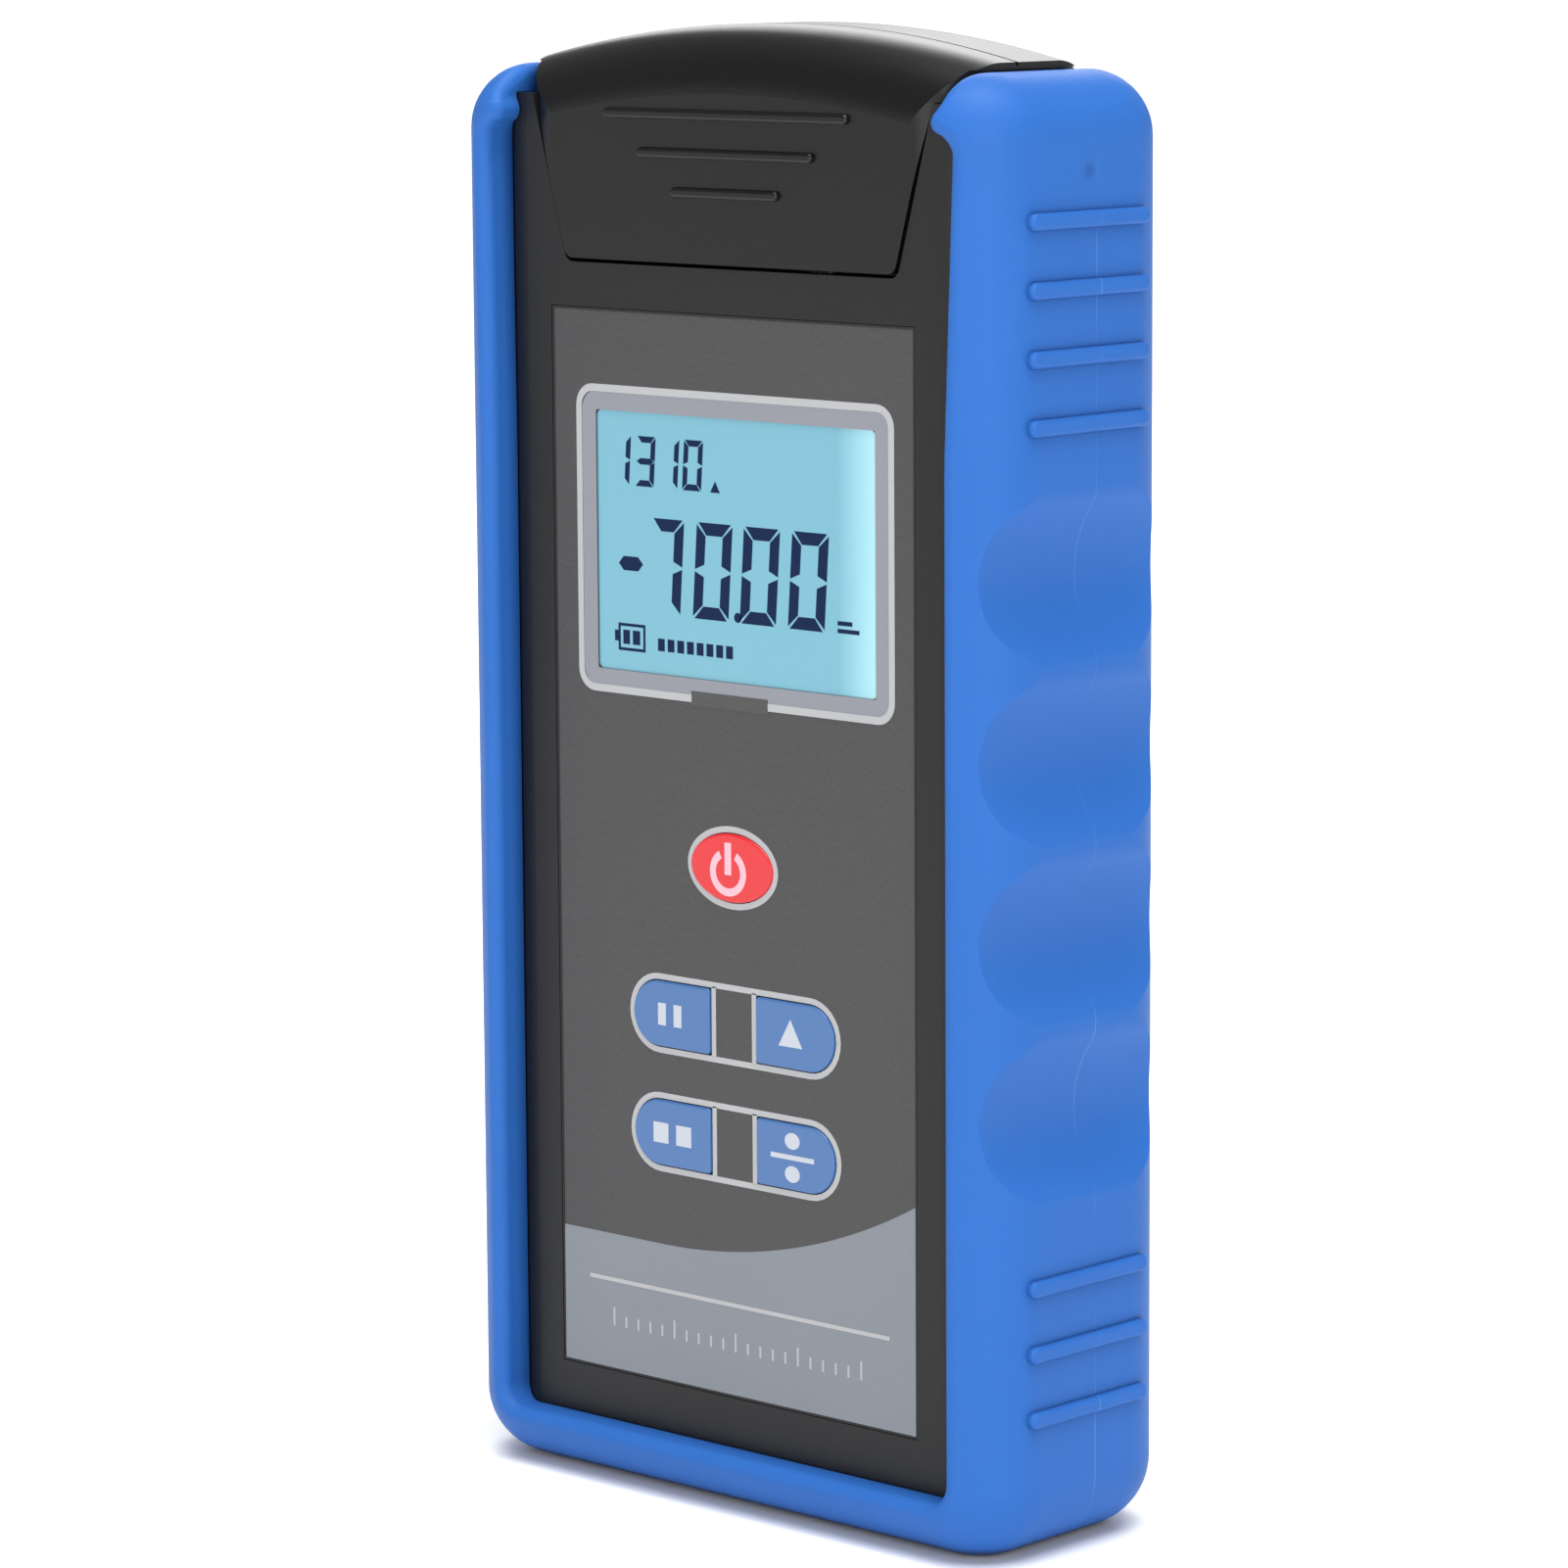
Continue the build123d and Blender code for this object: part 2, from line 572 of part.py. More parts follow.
with BuildPart() as rear_case:
    add(case_body.part)
    split(bisect_by=facing(PARTING), keep=Keep.BOTTOM)
    # Tray for the cells, open at the back, with a seat for the door round it
    with BuildSketch(facing(wall_back + FIT)):
        with Locations((0, (door_foot + door_top) / 2)):
            Rectangle(2 * door_half, door_top - door_foot)
    extrude(amount=wall_back + FIT - tray_front)
    with BuildSketch(facing(case_back + FIT)):
        with Locations((0, (tray_foot + tray_top) / 2)):
            Rectangle(2 * tray_half, tray_top - tray_foot)
    extrude(amount=case_back + FIT - tray_front - TRAY_WALL, mode=Mode.SUBTRACT)
    with BuildSketch(facing(case_back + FIT)):
        add(door_outline(door_foot - DOOR_GAP, DOOR_GAP))
    extrude(amount=DOOR_THICK + FIT, mode=Mode.SUBTRACT)
    # Slots in the tray's foot for the door's tabs
    with BuildSketch(facing(door_inside)):
        with Locations((-DOOR_TAB_X, tray_foot), (DOOR_TAB_X, tray_foot)):
            Rectangle(DOOR_TAB_WIDTH + 2 * DOOR_GAP, 2 * (TRAY_WALL + DOOR_GAP))
    extrude(amount=door_inside - tab_back + DOOR_TAB_THICK + TAB_ROOM, mode=Mode.SUBTRACT)
    # Screw bosses, their bores and the recesses for the heads
    with BuildSketch(facing(wall_back + FIT)):
        with Locations(*case_screw_places):
            Circle(CASE_BOSS)
    extrude(amount=wall_back + FIT - PARTING)
    with BuildSketch(facing(case_back)):
        with Locations(*case_screw_places):
            Circle(CASE_SCREW_RADIUS + FIT)
    extrude(amount=case_back - PARTING, mode=Mode.SUBTRACT)
    with BuildSketch(facing(case_back)):
        with Locations(*case_screw_places):
            Circle(CASE_SCREW_HEAD + FIT)
    extrude(amount=case_back - screw_seat, mode=Mode.SUBTRACT)
    # Opening in the deck for the adapter, with holes for its screws
    with BuildSketch(Plane.XY.offset(deck_level)):
        with Locations((0, adapter_y)):
            Circle(ADAPTER_RADIUS + FIT)
        with Locations(*adapter_screw_places):
            Circle(ADAPTER_SCREW_RADIUS)
    extrude(amount=-DECK_THICK, mode=Mode.SUBTRACT)
    # Room for the cover's knuckle, and hinge lugs either side of it
    with BuildSketch(Plane.YZ.offset(-knuckle_room)):
        with Locations((hinge_y, hinge_z)):
            Circle(HINGE_BARREL + HINGE_SIDE_GAP)
    extrude(amount=2 * knuckle_room, mode=Mode.SUBTRACT)
    for start in (-hinge_half, knuckle_room):
        with BuildSketch(Plane.YZ.offset(start)):
            with Locations((hinge_y, hinge_z)):
                Circle(HINGE_BARREL)
            with Locations((hinge_y - HINGE_BARREL / 2, hinge_z - HINGE_BARREL)):
                Rectangle(HINGE_BARREL, 2 * HINGE_BARREL)
        extrude(amount=HINGE_LUG)
    with BuildSketch(Plane.YZ.offset(-hinge_half)):
        with Locations((hinge_y, hinge_z)):
            Circle(HINGE_PIN)
    extrude(amount=2 * hinge_half, mode=Mode.SUBTRACT)
finish(rear_case, "rear_case")

# Dust cover: arched shell with a flap that closes the front of the connector well
with BuildPart() as end_rims:
    add(cover_block(cover_half + RIM_OVERHANG, cover_front, cover_back, cover_apex,
                    COVER_ROUND, COVER_CORNER + RIM_OVERHANG))
    with BuildSketch(facing(cover_back)):
        with Locations((0, cover_apex)):
            Rectangle(2 * (cover_half - RIM_ROOT), 2 * cover_apex)
        Rectangle(3 * cover_half, 2 * rim_foot)
    extrude(amount=cover_back - cover_front, mode=Mode.SUBTRACT)

with BuildPart() as dust_cover:
    add(cover_block(cover_half, cover_front, cover_back, cover_apex, COVER_ROUND, COVER_CORNER))
    add(cover_block(cover_half - COVER_WALL, cover_front + COVER_WALL, cover_back - COVER_WALL,
                    cover_apex - COVER_WALL, COVER_ROUND - COVER_WALL, COVER_CORNER - COVER_WALL),
        mode=Mode.SUBTRACT)
    # Below the seat only the flap is left
    with BuildSketch(facing(cover_back)):
        Rectangle(3 * cover_half, 2 * cover_seat)
    extrude(amount=cover_back - cover_front - COVER_CORNER, mode=Mode.SUBTRACT)
    with BuildSketch(facing(cover_back)):
        Rectangle(3 * cover_half, 2 * cover_seat)
        add(flap_outline(0, 0), mode=Mode.SUBTRACT)
    extrude(amount=cover_back - cover_front, mode=Mode.SUBTRACT)
    # Thumb ribs on the flap, shorter towards its foot
    with BuildSketch(facing(cover_front)):
        for i in range(THUMB_RIBS):
            with Locations((0, cover_seat - THUMB_RIB_DROP - i * THUMB_RIB_PITCH)):
                SlotOverall(2 * (THUMB_RIB_HALF - i * THUMB_RIB_STEP), THUMB_RIB_WIDTH)
    extrude(amount=THUMB_RIB_PROUD)
    fillet(dust_cover.faces().group_by(Axis.Y)[0].edges(), THUMB_RIB_ROUND)
    add(end_rims.part)
    # Seam groove across the roof
    with BuildSketch(facing(PARTING + SEAM_WIDTH / 2)):
        with Locations((0, crown_centre)):
            Circle(cover_crown + COVER_WALL)
            Circle(cover_crown - SEAM_DEPTH, mode=Mode.SUBTRACT)
    extrude(amount=SEAM_WIDTH, mode=Mode.SUBTRACT)
    # Knuckle on the hinge, and room for the case's lugs either side of it
    with BuildSketch(Plane.YZ.offset(-hinge_half - HINGE_SIDE_GAP)):
        with Locations((hinge_y, hinge_z)):
            Circle(HINGE_BARREL + HINGE_SIDE_GAP)
    extrude(amount=2 * (hinge_half + HINGE_SIDE_GAP), mode=Mode.SUBTRACT)
    with BuildSketch(Plane.YZ.offset(-HINGE_KNUCKLE / 2)):
        with Locations((hinge_y, hinge_z)):
            Circle(HINGE_BARREL)
        with Locations((hinge_y - HINGE_NECK_INSET, hinge_z + HINGE_NECK / 2)):
            Rectangle(HINGE_BARREL, HINGE_NECK)
        with Locations((hinge_y, hinge_z)):
            Circle(HINGE_PIN + HINGE_RUN, mode=Mode.SUBTRACT)
    extrude(amount=HINGE_KNUCKLE)
finish(dust_cover, "dust_cover")

with BuildPart() as cover_hinge_pin:
    with BuildSketch(Plane.YZ.offset(-hinge_half)):
        with Locations((hinge_y, hinge_z)):
            Circle(HINGE_PIN)
    extrude(amount=2 * hinge_half)
finish(cover_hinge_pin, "cover_hinge_pin")

# Front label and display window
with BuildPart() as face_label:
    with BuildSketch(facing(label_back)):
        with Locations((0, label_z)):
            Rectangle(LABEL_WIDTH, label_height)
        with Locations((DISPLAY_X, display_z)):
            RectangleRounded(DISPLAY_WIDTH + FIT, DISPLAY_HEIGHT + FIT, DISPLAY_CORNER, mode=Mode.SUBTRACT)
        for name in key_names:
            add(key_outline(name, SLIDE_GAP), mode=Mode.SUBTRACT)
    extrude(amount=LABEL_THICK)
finish(face_label, "face_label")

with BuildPart() as display_window:
    with BuildSketch(facing(window_front + WINDOW_THICK)):
        with Locations((DISPLAY_X, display_z)):
            RectangleRounded(DISPLAY_WIDTH, DISPLAY_HEIGHT, DISPLAY_CORNER)
    extrude(amount=WINDOW_THICK)
finish(display_window, "display_window")

# Keys: cap through the wall, flange behind it, plunger over its switch
for name in key_names:
    with BuildPart() as key:
        with BuildSketch(facing(flange_front)):
            add(key_outline(name, 0))
        extrude(amount=flange_front - key_front)
        fillet(key.faces().sort_by(Axis.Y)[0].edges(), KEY_DOME)
        with BuildSketch(facing(flange_front + KEY_FLANGE_THICK)):
            add(key_outline(name, KEY_FLANGE))
        extrude(amount=KEY_FLANGE_THICK)
        with BuildSketch(facing(plunger_end)):
            with Locations(switch_places[name]):
                Circle(PLUNGER_RADIUS)
        extrude(amount=plunger_end - flange_front - KEY_FLANGE_THICK)
    finish(key, name)

    with BuildPart() as switch:
        with BuildSketch(facing(board_front)):
            with Locations(switch_places[name]):
                RectangleRounded(SWITCH_SIZE, SWITCH_SIZE, SWITCH_CORNER)
        extrude(amount=SWITCH_BODY)
        with BuildSketch(facing(board_front - SWITCH_BODY)):
            with Locations(switch_places[name]):
                Circle(SWITCH_BUTTON)
        extrude(amount=SWITCH_BUTTON_RISE)
    finish(switch, name + "_switch")

# Display: glass against the front wall, backlight and rubber connector between it and the board
with BuildPart() as display_glass:
    with BuildSketch(facing(glass_back)):
        with Locations((DISPLAY_X, display_z)):
            Rectangle(DISPLAY_WIDTH + 2 * GLASS_BORDER, DISPLAY_HEIGHT + 2 * GLASS_BORDER)
    extrude(amount=GLASS_THICK)
finish(display_glass, "display_glass")

with BuildPart() as display_backlight:
    with BuildSketch(facing(board_front)):
        with Locations((DISPLAY_X, display_z)):
            RectangleRounded(DISPLAY_WIDTH, DISPLAY_HEIGHT, DISPLAY_CORNER)
    extrude(amount=BACKLIGHT_THICK)
finish(display_backlight, "display_backlight")

with BuildPart() as display_connector:
    with BuildSketch(facing(board_front)):
        with Locations((DISPLAY_X, display_z - (DISPLAY_HEIGHT + GLASS_BORDER) / 2)):
            Rectangle(DISPLAY_WIDTH, CONNECTOR_WIDTH)
    extrude(amount=BACKLIGHT_THICK)
finish(display_connector, "display_connector")

# Main board with what stands on it
with BuildPart() as main_board:
    with BuildSketch(facing(board_back)):
        with Locations((0, (board_foot + board_top) / 2)):
            RectangleRounded(2 * board_half, board_top - board_foot, BOARD_CORNER)
        with Locations(*board_screw_places):
            Circle(BOARD_SCREW_RADIUS + FIT, mode=Mode.SUBTRACT)
    extrude(amount=BOARD_THICK)
finish(main_board, "main_board")

for name, (x, z, size, thick) in chips.items():
    with BuildPart() as chip:
        with BuildSketch(rearward(board_back)):
            with Locations((-x, z)):
                Rectangle(size, size)
        extrude(amount=thick)
        chamfer(chip.faces().sort_by(Axis.Y)[-1].edges(), CHIP_CHAMFER)
    finish(chip, name)

with BuildPart() as sounder:
    with BuildSketch(rearward(board_back)):
        with Locations((-SOUNDER_X, board_top - SOUNDER_DROP)):
            Circle(SOUNDER_RADIUS)
    extrude(amount=SOUNDER_THICK)
    with BuildSketch(rearward(board_back + SOUNDER_THICK)):
        with Locations((-SOUNDER_X, board_top - SOUNDER_DROP)):
            Circle(SOUNDER_PORT)
    extrude(amount=-SOUNDER_THICK / 2, mode=Mode.SUBTRACT)
finish(sounder, "sounder")

# Fibre adapter: threaded barrel on a square flange, with its sleeve, screws and detector
with BuildPart() as fibre_adapter:
    with BuildSketch(Plane.XY.offset(deck_level)):
        with Locations((0, adapter_y)):
            RectangleRounded(ADAPTER_FLANGE, ADAPTER_FLANGE, ADAPTER_CORNER)
        with Locations(*adapter_screw_places):
            Circle(ADAPTER_SCREW_RADIUS + FIT, mode=Mode.SUBTRACT)
    extrude(amount=ADAPTER_FLANGE_THICK)
    with BuildSketch(Plane.XY.offset(adapter_foot)):
        with Locations((0, adapter_y)):
            Circle(ADAPTER_RADIUS)
    extrude(amount=adapter_top - adapter_foot)
    chamfer(fibre_adapter.faces().sort_by(Axis.Z)[-1].edges(), ADAPTER_CHAMFER)
    with BuildSketch(Plane.XY.offset(adapter_top)):
        with Locations((0, adapter_y)):
            Circle(ADAPTER_ROOM)
        with Locations((0, adapter_y - ADAPTER_RADIUS)):
            Rectangle(ADAPTER_KEYWAY, 2 * ADAPTER_RADIUS)
    extrude(amount=-KEYWAY_DEPTH, mode=Mode.SUBTRACT)
    with BuildSketch(Plane.XY.offset(web_top)):
        with Locations((0, adapter_y)):
            Circle(ADAPTER_ROOM)
    extrude(amount=adapter_top - web_top, mode=Mode.SUBTRACT)
    with BuildSketch(Plane.XY.offset(adapter_foot)):
        with Locations((0, adapter_y)):
            Circle(DETECTOR_RADIUS)
    extrude(amount=DETECTOR_LENGTH, mode=Mode.SUBTRACT)
    with BuildSketch(Plane.XY.offset(adapter_foot)):
        with Locations((0, adapter_y)):
            Circle(FERRULE_RADIUS + SLEEVE_WALL)
    extrude(amount=adapter_top - adapter_foot, mode=Mode.SUBTRACT)
finish(fibre_adapter, "fibre_adapter")

with BuildPart() as ferrule_sleeve:
    with BuildSketch(Plane.XY.offset(web_foot)):
        with Locations((0, adapter_y)):
            Circle(FERRULE_RADIUS + SLEEVE_WALL)
            Circle(FERRULE_RADIUS, mode=Mode.SUBTRACT)
    extrude(amount=adapter_top - SLEEVE_RECESS - web_foot)
finish(ferrule_sleeve, "ferrule_sleeve")

adapter_screws = screws(Plane.XY.offset(deck_level + ADAPTER_FLANGE_THICK), adapter_screw_places,
                        ADAPTER_SCREW_HEAD, ADAPTER_SCREW_HEAD_THICK, ADAPTER_SCREW_RADIUS,
                        ADAPTER_SCREW_LENGTH)
finish(adapter_screws, "adapter_screws")

with BuildPart() as detector_can:
    with BuildSketch(Plane.XY.offset(adapter_foot)):
        with Locations((0, adapter_y)):
            Circle(DETECTOR_RADIUS)
    extrude(amount=DETECTOR_LENGTH)
    with BuildSketch(Plane.XY.offset(adapter_foot)):
        with Locations((0, adapter_y)):
            Circle(DETECTOR_RADIUS + DETECTOR_RIM)
    extrude(amount=-DETECTOR_RIM)
finish(detector_can, "detector_can")

with BuildPart() as detector_board:
    with BuildSketch(Plane.XY.offset(adapter_foot - DETECTOR_RIM)):
        with Locations((0, adapter_y)):
            RectangleRounded(DETECTOR_BOARD, DETECTOR_BOARD, ADAPTER_CORNER)
    extrude(amount=-DETECTOR_BOARD_THICK)
finish(detector_board, "detector_board")

# Cells side by side, the middle one turned over, with a bent strip contact at each end
for name, (x, turned) in cells.items():
    body_foot = CELL_FOOT + (CELL_NUB if turned else 0)
    with BuildPart() as cell:
        with BuildSketch(Plane.XY.offset(body_foot)):
            with Locations((x, cell_y)):
                Circle(CELL_RADIUS)
        extrude(amount=CELL_LENGTH)
        fillet(cell.edges().filter_by(GeomType.CIRCLE), CELL_ROUND)
        with BuildSketch(Plane.XY.offset(CELL_FOOT if turned else CELL_FOOT + CELL_LENGTH)):
            with Locations((x, cell_y)):
                Circle(CELL_NUB_RADIUS)
        extrude(amount=CELL_NUB)
    finish(cell, name)

with BuildPart() as cell_contacts:
    for x, turned in cells.values():
        for wall, way in ((tray_foot, 1), (tray_top, -1)):
            with BuildSketch(Plane.YZ.offset(x - CONTACT_WIDTH / 2)):
                with BuildLine():
                    near = wall + way * CONTACT_THICK / 2
                    far = wall + way * (CONTACT_ROOM - FIT - CONTACT_THICK / 2)
                    Polyline((cell_y - CONTACT_REACH, near), (cell_y + CONTACT_REACH, near),
                             (cell_y, far), (cell_y - CONTACT_REACH, (near + far) / 2))
                trace(line_width=CONTACT_THICK)
            extrude(amount=CONTACT_WIDTH)
finish(cell_contacts, "cell_contacts")

# Door over the cells: it turns on its rolled foot, where tabs hook behind the case, and
# tongues at its head hold it shut
with BuildPart() as battery_door:
    with BuildSketch(rearward(door_inside)):
        add(door_outline(door_foot + door_roll, 0))
    extrude(amount=DOOR_THICK)
    with BuildSketch(Plane.YZ.offset(-door_half)):
        with Locations((door_inside + door_roll, door_foot + door_roll)):
            Circle(door_roll)
    extrude(amount=2 * door_half)
    with BuildSketch(rearward(case_back)):
        with Locations(*[(0, door_top - DOOR_RIB_DROP - i * DOOR_RIB_PITCH) for i in range(DOOR_RIBS)]):
            SlotOverall(DOOR_RIB_LENGTH, DOOR_RIB_WIDTH)
    extrude(amount=-DOOR_RIB_DEPTH, mode=Mode.SUBTRACT)
    for side in (-1, 1):
        with BuildSketch(Plane.YZ.offset(side * DOOR_TAB_X - DOOR_TAB_WIDTH / 2)):
            with BuildLine():
                Polyline((tab_back - DOOR_TAB_THICK, door_foot - DOOR_TAB_DROP),
                         (tab_back, door_foot - DOOR_TAB_DROP), (tab_back, door_foot + door_roll),
                         (door_inside, door_foot + door_roll),
                         (door_inside, door_foot + DOOR_TAB_RISE),
                         (tab_back - DOOR_TAB_THICK, door_foot + DOOR_TAB_RISE), close=True)
            make_face()
        extrude(amount=DOOR_TAB_WIDTH)
        with BuildSketch(Plane.YZ.offset(side * CELL_PITCH / 2 - TONGUE_WIDTH / 2)):
            with Locations((door_inside - TONGUE_LENGTH / 2, tray_top - TONGUE_GAP - TONGUE_THICK / 2)):
                Rectangle(TONGUE_LENGTH, TONGUE_THICK)
        extrude(amount=TONGUE_WIDTH)
finish(battery_door, "battery_door")

case_screws = screws(rearward(screw_seat), case_screw_places,
                     CASE_SCREW_HEAD, CASE_SCREW_HEAD_THICK, CASE_SCREW_RADIUS, CASE_SCREW_LENGTH)
finish(case_screws, "case_screws")

board_screws = screws(rearward(board_back), board_screw_places,
                      BOARD_SCREW_HEAD, BOARD_SCREW_HEAD_THICK, BOARD_SCREW_RADIUS, BOARD_SCREW_LENGTH)
finish(board_screws, "board_screws")
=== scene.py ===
# %% [markdown]
# A handheld optical power meter in its bumper holster, dressed for a studio picture.
# The solids come in from the CAD model and stay where they are. This script gives them
# their finishes, prints the front label, draws the display and the marks on the keys,
# and sets up the studio. Everything is in metres, and MM turns millimetres into metres.

# %% Load the model
import bpy
import bmesh
from math import atan, cos, radians, sin, sqrt
from mathutils import Matrix, Vector


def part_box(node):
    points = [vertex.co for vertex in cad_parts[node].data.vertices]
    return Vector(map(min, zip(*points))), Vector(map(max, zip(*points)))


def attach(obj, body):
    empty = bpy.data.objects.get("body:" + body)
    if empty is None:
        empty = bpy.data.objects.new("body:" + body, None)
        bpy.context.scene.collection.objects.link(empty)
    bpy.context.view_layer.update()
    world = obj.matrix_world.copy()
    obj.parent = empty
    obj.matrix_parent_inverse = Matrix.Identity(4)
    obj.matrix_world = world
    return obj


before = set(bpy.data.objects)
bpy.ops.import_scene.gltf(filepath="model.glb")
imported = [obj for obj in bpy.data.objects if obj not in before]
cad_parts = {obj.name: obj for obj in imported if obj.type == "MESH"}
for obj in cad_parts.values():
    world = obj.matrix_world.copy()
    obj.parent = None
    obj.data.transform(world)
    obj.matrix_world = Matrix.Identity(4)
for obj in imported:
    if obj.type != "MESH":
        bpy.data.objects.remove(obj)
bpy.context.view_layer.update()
MM = 0.001

# %% [markdown]
# The camera stands in front of the meter and to its right, a little higher than its top,
# and looks slightly down through a long lens. Its place was worked out from the straight
# edges and the even pitch of the grip bars. A camera looks along its own -Z, so its three
# axes are written as the columns of a rotation: right, up, and back towards the
# photographer. The Standard view transform shows colours as they are, so the blue stays
# as clean as it is in the photograph.

# %% Camera
FRAME_PIXELS = 1601
FOCAL_PIXELS = 6097.5
YAW = radians(43.059)
PITCH = radians(8.609)
ROLL = radians(0.364)
CAMERA_PLACE = Vector((481.58, -519.48, 193.8)) * MM

camera_data = bpy.data.cameras.new("studio_camera")
camera_data.sensor_fit = "HORIZONTAL"
camera_data.angle = 2 * atan(FRAME_PIXELS / 2 / FOCAL_PIXELS)
camera = bpy.data.objects.new("studio_camera", camera_data)
bpy.context.scene.collection.objects.link(camera)
forward = Vector((-sin(YAW) * cos(PITCH), cos(YAW) * cos(PITCH), -sin(PITCH)))
level = Vector((cos(YAW), sin(YAW), 0))
down = forward.cross(level)
right = level * cos(ROLL) + down * sin(ROLL)
up = level * sin(ROLL) - down * cos(ROLL)
turned = Matrix((right, up, -forward)).transposed().to_4x4()
camera.matrix_world = Matrix.Translation(CAMERA_PLACE) @ turned
bpy.context.scene.camera = camera
bpy.context.scene.view_settings.view_transform = "Standard"
print("camera angle", round(camera_data.angle, 4))

# %% [markdown]
# A product picture like this one is lit by big soft sources. A wide sun light overhead
# stands for a canopy as large as the room: it whitens the floor evenly, however far back,
# and leaves the tops lighter than the sides. The key light stands to the right of the
# camera and above it, and models the finger scoops. A weaker light in front serves the
# face, one behind is mirrored in the roof of the cover, and one on top brightens the
# shoulders. A dim world fills the rest. All places and sizes in this cell are in metres.

# %% Lights and floor
MIDDLE = (0, 0, 0.09)
# name, place, size, power in watts
SOFT_LIGHTS = (
    ("key_light", (0.85, -0.60, 0.42), 0.45, 4.6),
    ("front_light", (0.05, -0.95, 0.30), 0.5, 1.6),
    ("back_light", (-0.75, 0.95, 0.75), 0.7, 5.0),
    ("top_light", (0.05, 0.00, 1.20), 0.5, 2.4),
)
CANOPY_FROM = Vector((0.15, -0.10, 1.0))
CANOPY_SPREAD = radians(50)
CANOPY_STRENGTH = 3.4
WORLD_STRENGTH = 0.26
FLOOR_HALF = 60.0


def add_light(name, kind, matrix, **settings):
    """Light of one kind, placed by its matrix, with any of its settings by name."""
    data = bpy.data.lights.new(name, kind)
    for setting, value in settings.items():
        setattr(data, setting, value)
    light = bpy.data.objects.new(name, data)
    bpy.context.scene.collection.objects.link(light)
    light.matrix_world = matrix


for name, place, size, power in SOFT_LIGHTS:
    aim = (Vector(MIDDLE) - Vector(place)).to_track_quat("-Z", "Y").to_matrix().to_4x4()
    add_light(name, "AREA", Matrix.Translation(place) @ aim, size=size, energy=power)
canopy_aim = CANOPY_FROM.to_track_quat("Z", "Y").to_matrix().to_4x4()
add_light("canopy_light", "SUN", canopy_aim, angle=CANOPY_SPREAD, energy=CANOPY_STRENGTH)

world = bpy.data.worlds.new("studio")
bpy.context.scene.world = world
world.use_nodes = True
background = world.node_tree.nodes["Background"]
background.inputs["Color"].default_value = (1.0, 1.0, 1.0, 1.0)
background.inputs["Strength"].default_value = WORLD_STRENGTH

bm = bmesh.new()
bmesh.ops.create_grid(bm, x_segments=1, y_segments=1, size=FLOOR_HALF)
floor_mesh = bpy.data.meshes.new("studio_floor")
bm.to_mesh(floor_mesh)
bm.free()
studio_floor = bpy.data.objects.new("studio_floor", floor_mesh)
bpy.context.scene.collection.objects.link(studio_floor)
print("lights and floor are up")

# %% [markdown]
# Moulded plastic is never one flat colour. The mould's surface is finely grained, which
# shows as tiny breaks in the gloss, and the colour drifts a little over the part. Both
# come from noise read in the object's own coordinates, so the pattern is fixed to the
# piece. Values that are the same all over are typed into the shader itself. Four small
# helpers do what the finishes ask for again and again: join two nodes, calculate with
# Math nodes, map one range of values to another, and mix two colours.

# %% A recipe for moulded finishes
DRIFT_SCALE = 45.0
DRIFT_DETAIL = 3.0
GRAIN_DETAIL = 2.0
GLOSS_SPREAD = 0.05
GRAIN_STRENGTH = 0.6


def wire(tree, source, socket, target, target_socket):
    """Join one node's output to another node's input."""
    tree.links.new(source.outputs[socket], target.inputs[target_socket])


def math_node(tree, operation, first, second=None):
    """Math node whose inputs are sockets or plain numbers."""
    node = tree.nodes.new("ShaderNodeMath")
    node.operation = operation
    for slot, value in enumerate((first, second)):
        if value is None:
            continue
        if isinstance(value, (int, float)):
            node.inputs[slot].default_value = value
        else:
            tree.links.new(value, node.inputs[slot])
    return node.outputs["Value"]


def ranged(tree, value, **limits):
    """Map Range node on a socket, with any of its limits: From_Min, To_Max and so on."""
    node = tree.nodes.new("ShaderNodeMapRange")
    for limit, number in limits.items():
        node.inputs[limit.replace("_", " ")].default_value = number
    tree.links.new(value, node.inputs["Value"])
    return node


def mixed(tree, factor, first, second):
    """Mix of two colours, each a plain colour or a socket. Factor 0 is the first."""
    node = tree.nodes.new("ShaderNodeMix")
    node.data_type = "RGBA"
    tree.links.new(factor, node.inputs["Factor"])
    for socket, colour in (("A", first), ("B", second)):
        if isinstance(colour, tuple):
            node.inputs[socket].default_value = (*colour, 1.0)
        else:
            tree.links.new(colour, node.inputs[socket])
    return node.outputs["Result"]


